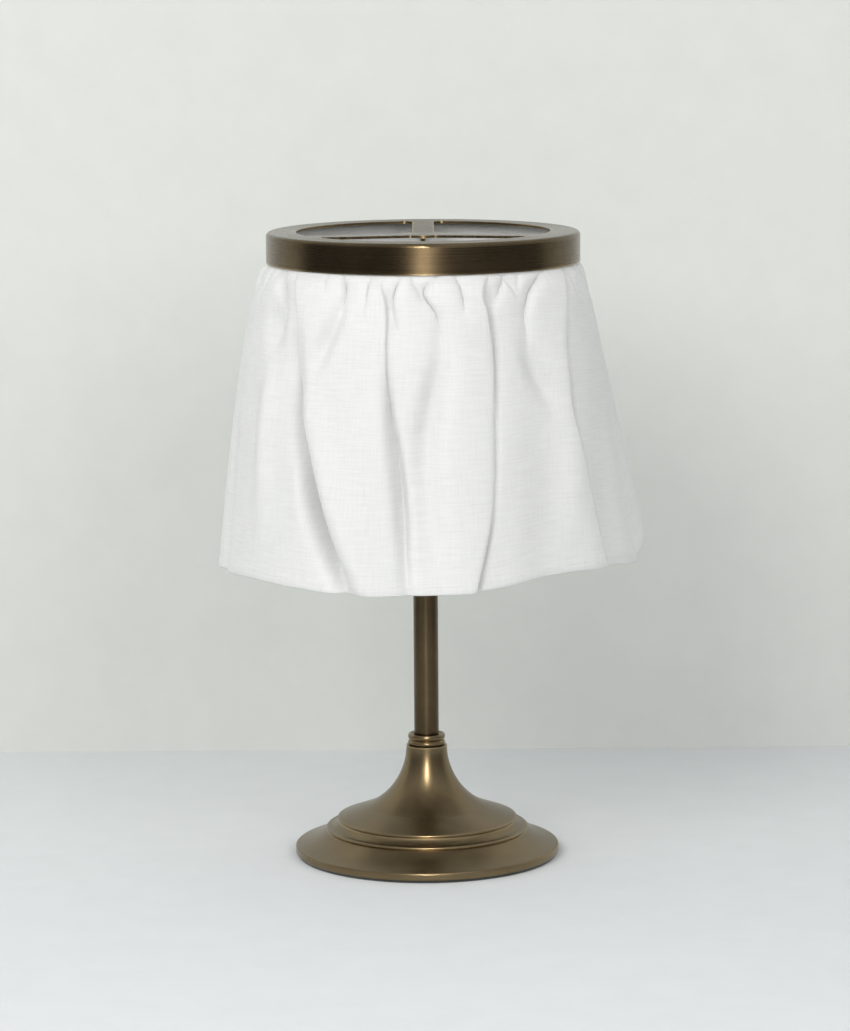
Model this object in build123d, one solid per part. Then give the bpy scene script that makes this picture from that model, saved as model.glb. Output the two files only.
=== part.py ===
from build123d import *
import os
from math import cos, radians, sin

# Driving dimensions, in millimetres

# Felt and foot
felt_thickness = 1.2
felt_inset = 1.4
foot_height = 55.5
foot_wall = 1.2
neck_radius = 10.4
flare_radius = 35.0
flare_angle = 65.0
upper_lip_radius = 46.0
upper_lip_height = 18.3
lower_lip_radius = 51.7
lower_lip_height = 13.4
lip_bead = 0.8
riser_hollow = 0.9
apron_hollow = 1.0
rim_radius = 67.6
rim_height = 4.2
rim_round = 1.2
rim_return = 3.6

# Weight and fasteners inside the foot
weight_gap = 0.5
weight_root = 4.8
pocket_gap = 2.0
rod_radius = 4.0
rod_end = 1.2
rod_chamfer = 0.6
washer_radius = 11.0
washer_thickness = 1.6
lock_washer_radius = 7.0
lock_washer_thickness = 2.0
lock_split = 0.8
lock_split_angle = 30.0
nut_flats = 13.0
nut_height = 6.5
nut_cover = 2.6
bore_gap = 0.2
thread_gap = 0.05

# Collar and stem
collar_radius = 9.5
collar_height = 5.8
collar_groove = 0.9
collar_bead = 2.7
collar_round = 0.5
collar_lip = 0.7
collar_dish = 0.9
stem_radius = 6.3
stem_wall = 1.0
stem_length = 110.5
stem_seat = 3.0
seat_gap = 0.1

# Carrier for the shade
hub_radius = 13.0
hub_height = 10.0
hub_taper = 3.0
hub_curve = 4.4
hub_bow = 0.4
hub_seat = 2.5
hub_slot = 4.5
arm_thickness = 2.5
arm_width = 6.0
arm_bend = 30.0
arm_rise = 128.8
arm_count = 3
arm_start = 90.0
finger_height = 5.0
tip_chamfer = 1.0
slot_gap = 0.05

# Drip pan, cup and candle
pan_floor_radius = 22.0
pan_radius = 32.0
pan_depth = 7.0
pan_wall = 1.0
cup_base = 8.0
cup_web = 1.5
cup_depth = 22.0
cup_wall = 1.6
cup_foot = 9.6
cup_foot_height = 1.2
cup_waist = 7.6
cup_shoulder = 1.0
cup_lip = 2.2
cup_lip_height = 3.0
cup_lip_edge = 0.8
candle_radius = 11.0
candle_length = 75.0
candle_fit = 0.3
candle_crown = 2.0
candle_dip = 0.8
wick_radius = 0.9
wick_exposed = 8.0
wick_lift = 1.0

# Cap
cap_radius = 79.0
cap_height = 15.3
cap_wall = 1.3
cap_corner = 2.0
cap_dish = 1.4
ring_width = 15.0
spoke_width = 11.0
cap_hub_radius = 12.0
opening_fillet = 4.0

# Skirt and its hoop
band_gap = 0.3
hoop_thickness = 1.2
hoop_height = 11.5
wrap_gap = 0.1
cloth_thickness = 0.8
wrap_lift = 1.0
header_chamfer = 0.6
finger_gap = 0.3
skirt_length = 154.5
hem_radius = 100.0
crease_angle = 5.0
band_angle = -84.0
hem_angle = -88.0
flare_power = 0.55
fold_power = 0.4
fall_steps = 4

# Panels of the skirt between its main folds, counted from the left: width along the
# band and along the hem, how far the lip and the foot of the fold before the panel
# stand out from the hem radius, and how far the panel bulges
panels = [
    (46.0, 112.0, 4.0, 0.5, -2.5),
    (49.0, 31.0, 4.0, -1.5, 0.5),
    (49.0, 40.0, -0.5, -3.0, -1.5),
    (78.0, 120.0, -0.5, -7.0, -3.5),
    (57.0, 70.0, 5.5, 3.5, 11.5),
    (28.0, 21.0, 4.5, 3.5, 0.0),
    (39.0, 70.0, 4.0, 1.0, -0.5),
    (81.0, 86.0, 3.0, 0.0, 2.5),
    (59.0, 78.0, 4.0, -2.5, 1.5),
]

# Heights up the lamp, worked out from the sizes above
z_rim = felt_thickness
z_neck = z_rim + foot_height
z_upper_lip = z_rim + upper_lip_height
z_lower_lip = z_rim + lower_lip_height
z_collar = z_neck + collar_height
z_stem = z_collar - stem_seat
z_stem_top = z_stem + stem_length
z_hub = z_stem_top - hub_seat
z_hub_top = z_hub + hub_height
z_pan = z_hub_top + pan_wall
z_cup_floor = z_pan + cup_base
z_rod_top = z_cup_floor - cup_web
z_seat = z_hub_top + arm_rise
z_hoop_top = z_seat + hoop_height
z_fold = z_hoop_top + wrap_gap + cloth_thickness
z_cap = z_fold + cap_wall
z_band = z_cap - cap_height

# Radii under the cap, from the band inwards
r_band = cap_radius - cap_wall
r_header = r_band - band_gap
r_header_in = r_header - cloth_thickness
r_hoop = r_header_in - wrap_gap
r_hoop_in = r_hoop - hoop_thickness
r_wrap = r_hoop_in - wrap_gap
r_wrap_in = r_wrap - cloth_thickness
r_finger = r_wrap_in - finger_gap
r_shelf = r_header_in - finger_gap

# Bore sizes
r_rod_hole = rod_radius + bore_gap
r_pocket = washer_radius + pocket_gap
z_washer = z_rim + nut_cover + nut_height + lock_washer_thickness
z_pocket = z_washer + washer_thickness


def spin(*edges):
    """Solid of revolution from a closed half profile drawn in X and Z."""
    face = make_face(Plane.XZ * Curve(edges))
    return revolve(face, Axis.Z)


def bowed(start, end, bow):
    """Arc from start to end, its middle pulled by bow to the right of the way."""
    return SagittaArc(start, end, -bow)


def ring(outer, inner, low, high):
    """Plain ring between two radii and two heights."""
    size = high - low
    body = Cylinder(outer, size) - Cylinder(inner, size)
    return Pos(0, 0, (low + high) / 2) * body


def felt_pad():
    radius = rim_radius - felt_inset
    return Pos(0, 0, felt_thickness / 2) * Cylinder(radius, felt_thickness)


def foot_edges():
    """Outer line of the foot, from the neck hole round to the rim return."""
    bend = JernArc((neck_radius, z_neck), (0, -1), flare_radius, flare_angle)
    tops = [(upper_lip_radius - lip_bead, z_upper_lip)]
    tops.append((lower_lip_radius - lip_bead, z_lower_lip))
    edges = [Line((r_rod_hole, z_neck), (neck_radius, z_neck)), bend]
    edges.append(Line(bend @ 1, tops[0]))
    for top in tops:
        nose = (top[0] + lip_bead, top[1] - lip_bead)
        foot = (top[0], top[1] - 2 * lip_bead)
        edges.append(ThreePointArc(top, nose, foot))
        if top == tops[0]:
            edges.append(bowed(foot, tops[1], riser_hollow))
    shoulder = (rim_radius - rim_round, z_rim + rim_height)
    edges.append(bowed(edges[-1] @ 1, shoulder, apron_hollow))
    side = (rim_radius, z_rim + rim_height - rim_round)
    edges.append(JernArc(shoulder, (1, 0), rim_round, -90))
    edges.append(Line(side, (rim_radius, z_rim + rim_round)))
    heel = JernArc((rim_radius, z_rim + rim_round), (0, -1), rim_round, -90)
    edges.append(heel)
    edges.append(Line(heel @ 1, (rim_radius - rim_round - rim_return, z_rim)))
    return edges


def foot_hollow():
    """Closed half profile of the space inside the foot."""
    neck = (neck_radius - foot_wall, z_neck - foot_wall)
    bend = JernArc(neck, (0, -1), flare_radius + foot_wall, flare_angle)
    upper = (upper_lip_radius - lip_bead - foot_wall, z_upper_lip - foot_wall)
    lower = (lower_lip_radius - lip_bead - foot_wall, z_lower_lip - foot_wall)
    under = (lower[0], lower[1] - 2 * lip_bead)
    shoulder = (rim_radius - rim_round, z_rim + rim_height - foot_wall)
    mouth = rim_radius - rim_round - rim_return
    close = Polyline(
        shoulder,
        (shoulder[0], z_rim + foot_wall),
        (mouth, z_rim + foot_wall),
        (mouth, z_rim - foot_wall),
        (0, z_rim - foot_wall),
        (0, neck[1]),
        neck,
    )
    edges = [bend, Line(bend @ 1, upper), bowed(upper, lower, riser_hollow)]
    edges += [Line(lower, under), bowed(under, shoulder, apron_hollow), close]
    return edges


def foot():
    """Spun foot: a stepped shell with its edge turned in underneath."""
    outer = foot_edges()
    close = Polyline(outer[-1] @ 1, (0, z_rim), (0, z_neck), (r_rod_hole, z_neck))
    hole = Pos(0, 0, z_neck) * Cylinder(r_rod_hole, 4 * foot_wall)
    return spin(*outer, close) - spin(*foot_hollow()) - hole


def weight():
    """Cast disc with a column that carries the thin neck of the foot."""
    edge = rim_radius - rim_round - rim_return - weight_gap
    column = neck_radius - foot_wall - weight_gap
    step = lower_lip_radius - 2 * lip_bead - foot_wall - weight_gap
    z_edge = z_rim + rim_height - foot_wall - weight_gap
    z_step = z_lower_lip - 2 * lip_bead - foot_wall - weight_gap
    z_root = z_pocket + weight_root
    line = Polyline(
        (r_rod_hole, z_pocket),
        (r_pocket, z_pocket),
        (r_pocket, z_rim),
        (edge, z_rim),
        (edge, z_edge),
        (step, z_step),
        (column, z_root),
        (column, z_neck - foot_wall),
        (r_rod_hole, z_neck - foot_wall),
        (r_rod_hole, z_pocket),
    )
    return spin(line)


def foot_washer():
    return ring(washer_radius, r_rod_hole, z_washer, z_pocket)


def lock_washer():
    low = z_washer - lock_washer_thickness
    body = ring(lock_washer_radius, r_rod_hole, low, z_washer)
    split = Box(lock_washer_radius, lock_split, 2 * lock_washer_thickness)
    place = Pos(lock_washer_radius / 2, 0, (low + z_washer) / 2)
    return body - place * Rot(lock_split_angle, 0, 0) * split


def foot_nut():
    low = z_rim + nut_cover
    hexagon = RegularPolygon(nut_flats / 2, 6, major_radius=False)
    body = extrude(hexagon - Circle(rod_radius + thread_gap), nut_height)
    return Pos(0, 0, low) * body


def tie_rod():
    low = z_rim + rod_end
    body = Pos(0, 0, (low + z_rod_top) / 2) * Cylinder(rod_radius, z_rod_top - low)
    return chamfer(body.edges(), rod_chamfer)


def neck_collar():
    """Turned collar with two beads and a dished top around the stem."""
    groove = collar_radius - collar_groove
    middle = z_neck + collar_bead
    bore = stem_radius + seat_gap
    base = Polyline((r_rod_hole, z_stem), (r_rod_hole, z_neck), (groove, z_neck))
    low_bead = ThreePointArc(
        (groove, z_neck), (collar_radius, (z_neck + middle) / 2), (groove, middle)
    )
    lip = (collar_radius - collar_round, z_collar)
    high_bead = ThreePointArc(
        (groove, middle), (collar_radius, (middle + z_collar) / 2), lip
    )
    top = Polyline(
        lip,
        (lip[0] - collar_lip, z_collar),
        (bore, z_collar - collar_dish),
        (bore, z_stem),
        (r_rod_hole, z_stem),
    )
    return spin(base, low_bead, high_bead, top)


def stem():
    return ring(stem_radius, stem_radius - stem_wall, z_stem, z_stem_top)


def arm_angles():
    return [arm_start + i * 360 / arm_count for i in range(arm_count)]


def carrier_hub():
    """Turned hub on top of the stem with a radial slot for each arm."""
    bore = stem_radius + seat_gap
    foot = (hub_radius - hub_taper, z_hub)
    side = (hub_radius, z_hub + hub_curve)
    line = Polyline(
        side,
        (hub_radius, z_hub_top),
        (r_rod_hole, z_hub_top),
        (r_rod_hole, z_stem_top),
        (bore, z_stem_top),
        (bore, z_hub),
        foot,
    )
    body = spin(bowed(foot, side, hub_bow), line)
    depth = arm_width + slot_gap
    slot = Box(2 * hub_slot, arm_thickness + 2 * slot_gap, 2 * depth)
    for angle in arm_angles():
        body -= Rot(0, 0, angle) * Pos(hub_radius, 0, z_hub_top) * slot
    return body


def carrier_arm(angle):
    """Flat arm, cut from plate, with a stepped tip that carries the hoop."""
    root = hub_radius - hub_slot + slot_gap
    back = r_shelf - arm_width
    low = z_hub_top - arm_width
    turn = back - arm_bend
    z_tip = z_seat + finger_height
    outer = JernArc((turn, low), (1, 0), arm_bend + arm_width, 90)
    inner = JernArc((turn, z_hub_top), (1, 0), arm_bend, 90)
    tip = Polyline(
        outer @ 1,
        (r_shelf, z_seat),
        (r_finger, z_seat),
        (r_finger, z_tip - tip_chamfer),
        (r_finger - tip_chamfer, z_tip),
        (back + tip_chamfer, z_tip),
        (back, z_tip - tip_chamfer),
        inner @ 1,
    )
    tail = Polyline((turn, z_hub_top), (root, z_hub_top), (root, low), (turn, low))
    face = make_face(Plane.XZ * Curve([outer, tip, inner, tail]))
    return Rot(0, 0, angle) * extrude(face, arm_thickness / 2, both=True)


def drip_pan():
    """Spun saucer that catches wax, pinched between the hub and the cup."""
    z_rim_top = z_hub_top + pan_depth
    outer = TangentArc((pan_floor_radius, z_hub_top), (pan_radius, z_rim_top), tangent=(1, 0))
    inner = TangentArc((pan_floor_radius, z_pan), (pan_radius - pan_wall, z_rim_top), tangent=(1, 0))
    floor = Polyline(
        (pan_floor_radius, z_pan),
        (r_rod_hole, z_pan),
        (r_rod_hole, z_hub_top),
        (pan_floor_radius, z_hub_top),
    )
    return spin(floor, outer, Line(outer @ 1, inner @ 1), inner)


def candle_cup():
    """Turned cup, screwed on the rod, that clamps the pan below it."""
    bore = candle_radius + candle_fit
    bowl = bore + cup_wall
    z_top = z_cup_floor + cup_depth
    z_blind = z_rod_top + thread_gap
    thread = rod_radius + thread_gap
    line = Polyline(
        (thread, z_blind),
        (thread, z_pan),
        (cup_foot, z_pan),
        (cup_foot, z_pan + cup_foot_height),
        (cup_waist, z_pan + cup_base / 2),
        (bowl, z_cup_floor + cup_shoulder),
        (bowl, z_top - cup_lip_height),
        (bowl + cup_lip, z_top - cup_lip_edge),
        (bowl + cup_lip, z_top),
        (bore, z_top),
        (bore, z_cup_floor),
        (0, z_cup_floor),
        (0, z_blind),
        (thread, z_blind),
    )
    return spin(line)


def candle():
    """Plain candle with a softened shoulder and a channel for the wick."""
    top = z_cup_floor + candle_length
    hole = wick_radius + thread_gap
    crown = JernArc((candle_radius, top - candle_crown), (0, 1), candle_crown, 90)
    line = Polyline(
        crown @ 1,
        (hole, top - candle_dip),
        (hole, z_cup_floor),
        (candle_radius, z_cup_floor),
        crown @ 0,
    )
    return spin(crown, line)


def wick():
    low = z_cup_floor + wick_lift
    high = z_cup_floor + candle_length + wick_exposed
    return Pos(0, 0, (low + high) / 2) * Cylinder(wick_radius, high - low)


def cap_profile():
    """Half section of the cap: band, rounded corner, ring and dished middle."""
    rim = cap_radius - ring_width
    inner_corner = cap_corner - cap_wall
    low = z_cap - cap_dish
    outside = JernArc((cap_radius, z_cap - cap_corner), (0, 1), cap_corner, 90)
    inside = JernArc((r_band - inner_corner, z_fold), (1, 0), inner_corner, -90)
    over = Polyline(outside @ 1, (rim, z_cap), (cap_hub_radius, low), (0, low))
    under = Polyline(
        (0, low), (0, low - cap_wall), (cap_hub_radius, low - cap_wall), (rim, z_fold), inside @ 0
    )
    wall = Polyline(
        inside @ 1, (r_band, z_band), (cap_radius, z_band), (cap_radius, z_cap - cap_corner)
    )
    return [outside, over, under, inside, wall]


def cap():
    """Spun cap with three openings that leave a three-armed plate."""
    spokes = Circle(cap_hub_radius)
    length = cap_radius
    for angle in arm_angles():
        spokes += Rot(0, 0, angle) * Pos(length / 2, 0) * Rectangle(length, spoke_width)
    openings = Circle(cap_radius - ring_width) - spokes
    openings = fillet(openings.vertices(), opening_fillet)
    deep = 2 * (cap_wall + cap_dish)
    cutter = Pos(0, 0, z_cap - deep) * extrude(openings, 2 * deep)
    return spin(*cap_profile()) - cutter


def shade_hoop():
    return ring(r_hoop, r_hoop_in, z_seat, z_hoop_top)


def crease_angles(widths, first):
    """Angle from the front of the crease before each panel; the widths share the turn."""
    return [first + 360 * sum(widths[:i]) / sum(widths) for i in range(len(widths))]


def fold_lines(share, start, side):
    """Angle and radius of both sides of each crease, and the bulge that follows it."""
    bands, hems, lips, feet, bulges = zip(*panels)
    tops, ends = crease_angles(bands, band_angle), crease_angles(hems, hem_angle)
    flare, depth = share**flare_power, share**fold_power
    for top, end, lip, foot, bulge in zip(tops, ends, lips, feet, bulges):
        angle = top + (end - top) * share
        radius = start + (hem_radius + (lip + foot) / 2 + side - start) * flare
        step = (lip - foot) / 2 * depth
        yield angle - crease_angle / 2, radius + step, 0.0
        yield angle + crease_angle / 2, radius - step, bulge * share


def fold_face(share, start, side):
    """Closed ring of arcs: a step at each crease and a panel from one to the next."""
    height = z_band - skirt_length * share
    lines = list(fold_lines(share, start, side))
    first = lines[0]
    lines.append((first[0] + 360, first[1], first[2]))
    edges = []
    for (a, r, bulge), (b, q, _) in zip(lines, lines[1:]):
        spots = [(a, r), ((a + b) / 2, (r + q) / 2 + bulge), (b, q)]
        points = [(r * sin(radians(t)), -r * cos(radians(t)), height) for t, r in spots]
        edges.append(ThreePointArc(*points))
    return Face(Wire(edges))


def fall(start, side):
    """Loft of one face of the hanging cloth, side being its step from the middle."""
    shares = [i / fall_steps for i in range(fall_steps + 1)]
    return loft([fold_face(share, start, side) for share in shares])


def flat_faces(body):
    return body.faces().filter_by(GeomType.PLANE).sort_by(Axis.Z)


def hanging_cloth():
    """Thin wall between two lofts, closed by a ring at the band and at the hem."""
    outer = fall(r_header, cloth_thickness / 2)
    inner = fall(r_header_in, -cloth_thickness / 2)
    faces = []
    for body in (outer, inner):
        faces += body.faces().filter_by(GeomType.PLANE, reverse=True)
    for wide, narrow in zip(flat_faces(outer), flat_faces(inner)):
        faces.append(Face(wide.outer_wire(), [narrow.outer_wire()]))
    return Solid(Shell(faces))


def header():
    """Gathered edge of the skirt, turned over the hoop and down inside it."""
    z_wrap = z_seat + wrap_lift
    z_inside = z_hoop_top + wrap_gap
    line = Polyline(
        (r_header_in, z_band),
        (r_header, z_band),
        (r_header, z_fold - header_chamfer),
        (r_header - header_chamfer, z_fold),
        (r_wrap_in, z_fold),
        (r_wrap_in, z_wrap),
        (r_wrap, z_wrap),
        (r_wrap, z_inside),
        (r_header_in, z_inside),
        (r_header_in, z_band),
    )
    return spin(line)


def skirt():
    return header() + hanging_cloth()


PIECES = {
    "felt_pad": felt_pad,
    "foot": foot,
    "weight": weight,
    "foot_washer": foot_washer,
    "lock_washer": lock_washer,
    "foot_nut": foot_nut,
    "tie_rod": tie_rod,
    "neck_collar": neck_collar,
    "stem": stem,
    "carrier_hub": carrier_hub,
    "drip_pan": drip_pan,
    "candle_cup": candle_cup,
    "candle": candle,
    "wick": wick,
    "shade_hoop": shade_hoop,
    "skirt": skirt,
    "cap": cap,
}

os.makedirs("parts", exist_ok=True)
for name, make in PIECES.items():
    export_step(make(), f"parts/{name}.step")
for number, angle in enumerate(arm_angles(), start=1):
    export_step(carrier_arm(angle), f"parts/carrier_arm_{number}.step")
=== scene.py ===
"""Finish and stage for a candle lamp with a gathered cloth shade.

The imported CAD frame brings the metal, the candle and the felt. This script hangs the cloth, sews its hem,
gives every surface its material, and sets the stage.
"""

import math
from collections import namedtuple

import bpy
import numpy as np
from mathutils import Euler, Matrix, Vector


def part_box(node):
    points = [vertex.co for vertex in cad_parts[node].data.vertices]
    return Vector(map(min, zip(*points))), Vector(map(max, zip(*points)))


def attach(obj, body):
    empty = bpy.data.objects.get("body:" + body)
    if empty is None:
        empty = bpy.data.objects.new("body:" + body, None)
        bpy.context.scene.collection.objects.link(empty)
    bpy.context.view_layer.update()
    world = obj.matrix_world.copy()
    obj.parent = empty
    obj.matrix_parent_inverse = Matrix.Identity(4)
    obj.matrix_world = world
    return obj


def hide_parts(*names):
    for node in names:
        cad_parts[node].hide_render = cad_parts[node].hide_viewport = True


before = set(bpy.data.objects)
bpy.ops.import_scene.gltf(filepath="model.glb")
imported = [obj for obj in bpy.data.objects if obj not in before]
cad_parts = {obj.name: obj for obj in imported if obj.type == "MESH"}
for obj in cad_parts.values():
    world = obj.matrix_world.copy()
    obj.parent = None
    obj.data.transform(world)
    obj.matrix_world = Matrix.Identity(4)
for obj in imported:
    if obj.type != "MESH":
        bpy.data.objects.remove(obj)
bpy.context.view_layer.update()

bl_info = {
    "name": "Candle Lamp Finish",
    "version": (1, 0, 0),
    "blender": (4, 5, 0),
    "location": "View3D > Sidebar > Candle Lamp",
    "description": "Hangs the gathered shade, finishes the metal and sets the stage",
    "category": "Object",
}

MM = 0.001
BAND_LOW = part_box("cap")[0].z
HOOP_LOW, HOOP_HIGH = (corner.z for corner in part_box("shade_hoop"))
HOOP_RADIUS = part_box("shade_hoop")[1].x

# Angles on the shade run from the front, in degrees, and grow towards +X.
# A fold's stops are pairs of a share of the fall, 0 at the band and 1 at the hem, and a value there.
Fold = namedtuple("Fold", "path depth edge over reach")
Swell = namedtuple("Swell", "path depth reach")
Gather = namedtuple("Gather", "path depth side")

# A rear fold's share of the fall right under the band, and the width of its edge at the band.
UNDER_BAND, EDGE_AT_BAND = 0.06, 0.8


def rear_fold(start, end, depth, edge, over, reach):
    """Plain fold of the rear: its values under the band and at the hem."""
    return Fold(
        path=[(0, start), (1, end)],
        depth=[(0, 0), (UNDER_BAND, depth[0]), (1, depth[1])],
        edge=[(0, EDGE_AT_BAND), (1, edge)],
        over=[(0, over[0]), (1, over[1])],
        reach=reach,
    )


# Folds whose left side stands in front, or whose right side does where the depth is below zero: path, depth
# in millimetres, width of the edge in degrees, how far it folds over, and reach to both sides in degrees.
LAPPED_FOLDS = [
    Fold(
        path=[(0, -52), (0.1, -46.8), (0.25, -45.5), (0.4, -44.5), (0.65, -38.5), (1, -24.5)],
        depth=[(0, 0), (0.05, -2.2), (0.25, -3), (0.6, -2.4), (1, -1)],
        edge=[(0, 0.7), (0.3, 1), (0.6, 2.4), (1, 2)],
        over=[(0, 1), (0.3, 1.1), (0.5, 0.5), (1, 0.4)],
        reach=14,
    ),
    Fold(
        path=[(0, -15.2), (0.1, -13.4), (0.4, -11.6), (0.65, -8.2), (1, -5.8)],
        depth=[(0, 0), (0.05, 1.4), (0.25, 1.8), (0.6, 2.2), (1, 1)],
        edge=[(0, 0.6), (0.3, 0.9), (0.5, 1.8), (1, 2.2)],
        over=[(0, 1), (0.3, 1), (0.5, 0.4), (1, 0.3)],
        reach=10,
    ),
    Fold(
        path=[(0, 24), (0.05, 20.6), (0.12, 21.2), (0.22, 23), (0.45, 22.3), (0.8, 20.3), (1, 15)],
        depth=[(0, 0), (0.05, 2), (0.25, 2), (0.5, 1), (0.75, 1.4), (1, 3)],
        edge=[(0, 0.7), (0.25, 1), (0.6, 2.4), (1, 1.6)],
        over=[(0, 1.2), (0.25, 1), (0.55, 0.4), (0.8, 0.7), (1, 1)],
        reach=11,
    ),
    Fold(
        path=[(0, 61), (0.06, 56.4), (0.15, 55.2), (0.4, 53.8), (0.7, 58.3), (1, 66)],
        depth=[(0, 0), (0.05, 2), (0.25, 2.8), (0.6, 3.4), (1, 2.6)],
        edge=[(0, 0.8), (1, 1.4)],
        over=[(0, 1), (0.5, 1.1), (1, 0.9)],
        reach=8,
    ),
    Fold(
        path=[(0, 80), (0.3, 83), (0.7, 85), (1, 87)],
        depth=[(0, 0), (0.1, 2), (0.5, 3.6), (1, 4.4)],
        edge=[(0, 1), (1, 1.8)],
        over=[(0, 1), (1, 1.4)],
        reach=9,
    ),
    rear_fold(122, 126, depth=(1, 1.6), edge=2.5, over=(1, 0.6), reach=9),
    rear_fold(143, 138, depth=(1.6, 2.4), edge=2.5, over=(1, 0.8), reach=11),
    rear_fold(172, 178, depth=(1.6, 2.6), edge=2, over=(1.2, 1), reach=11),
    rear_fold(203, 199, depth=(1.2, 1.4), edge=3, over=(1, 0.4), reach=9),
    rear_fold(232, 227, depth=(2, 3.4), edge=2, over=(1.2, 1.2), reach=12),
]

# Soft swells, or hollows where the depth is below zero: path, depth in millimetres and reach in degrees.
SWELLS = [
    Swell(
        path=[(0, -50), (0.25, -44.5), (0.4, -43.3), (0.65, -37), (0.85, -30), (1, -22.5)],
        depth=[(0, 0), (0.1, -2), (0.3, -6), (0.45, -12), (0.65, -16), (0.85, -17), (1, -7)],
        reach=3.6,
    ),
    Swell(
        path=[(0, -14), (0.4, -11.2), (0.65, -7.8), (1, -5.4)],
        depth=[(0, 0), (0.25, -1), (0.45, -6), (0.75, -7), (1, -2)],
        reach=2.4,
    ),
    Swell(
        path=[(0, 22), (0.2, 23.4), (0.75, 21.4), (1, 15.6)],
        depth=[(0, 0), (0.1, -2), (0.25, -3), (0.5, -1.5), (0.75, -2), (0.9, -5), (1, -5)],
        reach=2,
    ),
    Swell(
        path=[(0, 62), (0.15, 56), (0.4, 54.8), (0.7, 59.6), (1, 67.5)],
        depth=[(0, 0), (0.1, -4), (0.3, -10), (0.8, -12), (1, -8)],
        reach=1.7,
    ),
    Swell([(0, 60), (0.3, 53), (0.7, 56), (1, 61)], [(0, 0), (0.1, 1), (0.6, 2.4), (1, 2.8)], 7),
    Swell([(0, -42), (0.4, -36.5), (0.65, -30), (1, -15.5)], [(0, 0), (0.35, 0.8), (0.65, 3.6), (1, 3)], 5),
    Swell([(0, 40), (1, 41)], [(0, 0), (0.15, -0.6), (0.5, -2.4), (1, -3)], 11),
    Swell([(0, 5), (0.24, 5.5), (0.5, 1), (1, 4)], [(0, 0), (0.2, -2), (0.38, -6), (0.7, -4), (1, -1)], 4),
    Swell(
        path=[(0, -29), (0.11, -29), (0.24, -34), (1, -42)],
        depth=[(0, 0), (0.1, -2.5), (0.2, -5), (0.36, 0), (1, 0)],
        reach=3.4,
    ),
    Swell([(0, -58), (1, -57)], [(0, 0), (0.1, -1), (0.18, -4.5), (0.28, 0), (1, 0)], 4.5),
    Swell(
        path=[(0, 38), (0.3, 39), (0.42, 46), (1, 50)],
        depth=[(0, 0), (0.2, -1), (0.36, -5), (0.5, 0), (1, 0)],
        reach=4.5,
    ),
    Swell([(0, -84), (0.5, -86), (1, -86)], [(0, 0), (0.4, -0.6), (0.75, -2.2), (1, -3)], 4),
]

# Pinched gathers under the band that the photograph shows: path, depth in millimetres, and the side that lies
# behind, 1 for the right and -1 for the left.
FRONT_GATHERS = [
    Gather([(0, -84), (0.1, -86)], 2.2, 1),
    Gather([(0, -76), (0.13, -74)], 2.2, -1),
    Gather([(0, -70), (0.08, -71)], 1.8, 1),
    Gather([(0, -63), (0.04, -65.6)], 1.6, 1),
    Gather([(0, -62.4), (0.07, -57.5), (0.16, -55)], 3, 1),
    Gather([(0, -37), (0.08, -34)], 1.6, 1),
    Gather([(0, -30.2), (0.06, -28.3), (0.13, -28.8)], 2.6, 1),
    Gather([(0, -19.2), (0.13, -20.2)], 2.2, -1),
    Gather([(0, -18.4), (0.04, -15.2)], 1.6, 1),
    Gather([(0, -8), (0.07, -10.4), (0.19, -8.5)], 2.4, -1),
    Gather([(0, -4.6), (0.09, -0.8)], 2, 1),
    Gather([(0, 6), (0.03, 1.6), (0.13, 4.5), (0.24, 5.5)], 2.6, -1),
    Gather([(0, 11), (0.05, 13), (0.12, 13.7)], 2.2, 1),
    Gather([(0, 30.4), (0.06, 27.7), (0.13, 22.6)], 2.4, -1),
    Gather([(0, 29.6), (0.08, 34.4)], 2, 1),
    Gather([(0, 36.5), (0.06, 35.5)], 1.6, -1),
    Gather([(0, 48.6), (0.06, 41.4), (0.1, 39), (0.25, 38.2)], 2.8, -1),
    Gather([(0, 63.4), (0.12, 67)], 2, 1),
    Gather([(0, 74.8), (0.05, 72.6), (0.13, 71.4)], 2, 1),
    Gather([(0, 84), (0.1, 85.5)], 2, -1),
    Gather([(0, 92), (0.14, 90)], 2.4, 1),
]

# The rear's gathers are spaced by chance: their number, the angles between which they lie, how far they stray
# from an even spacing and lean, and the ranges of their share of the fall and of their depth.
REAR_GATHERS = 20
REAR_SPAN = (98, 268)
REAR_STRAY, REAR_LEAN = 3, 4
REAR_FALL = (0.05, 0.22)
REAR_DEPTH = (1.8, 3)
SEED = 11

# Reach of the hem from the axis and its height, by angle, in millimetres.
HEM_REACH = [
    (-180, 101), (-150, 105), (-122, 99), (-97, 106), (-80, 101.5), (-60, 99), (-40, 99), (-22, 101),
    (-5, 98), (12, 98), (30, 95), (45, 95), (62, 97), (76, 101), (86, 106), (101, 115), (122, 105),
    (150, 102), (180, 101),
]
HEM_HEIGHT = [
    (-180, 152), (-130, 151), (-95, 149), (-60, 152), (-20, 151), (0, 151), (18, 152), (34, 155), (55, 156),
    (75, 154), (86, 152), (100, 160), (125, 154), (180, 152),
]
# How the cloth spreads on its way down, by angle: 1 is a straight fall, and less bulges under the band.
FLARE = [(-180, 0.75), (-90, 0.68), (0, 0.7), (60, 0.8), (102, 1.0), (135, 0.85), (180, 0.75)]

# A lapped fold's lip and hollow, as shares of its reach and depth, and the width that it draws together.
LIP_REACH, HOLLOW_REACH, HOLLOW_DEPTH = 1.3, 0.7, 2.4
FOLD_DRAW = 2.6

# A gather: width in degrees at the band and its growth down the fall, depth against the listed one, the
# step between its two sides, how far and how tightly it is drawn together, and how it fades along its path.
GATHER_WIDTH, GATHER_GROWTH, GATHER_DEPTH = 1.3, 9, 2
STEP_DEPTH, STEP_REACH = 0.4, 4
GATHER_DRAW, GATHER_CLOSING = 1.6, 0.75
GATHER_FADE = [(0.3, 1), (0.7, 0.5), (1.1, 0)]

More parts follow.
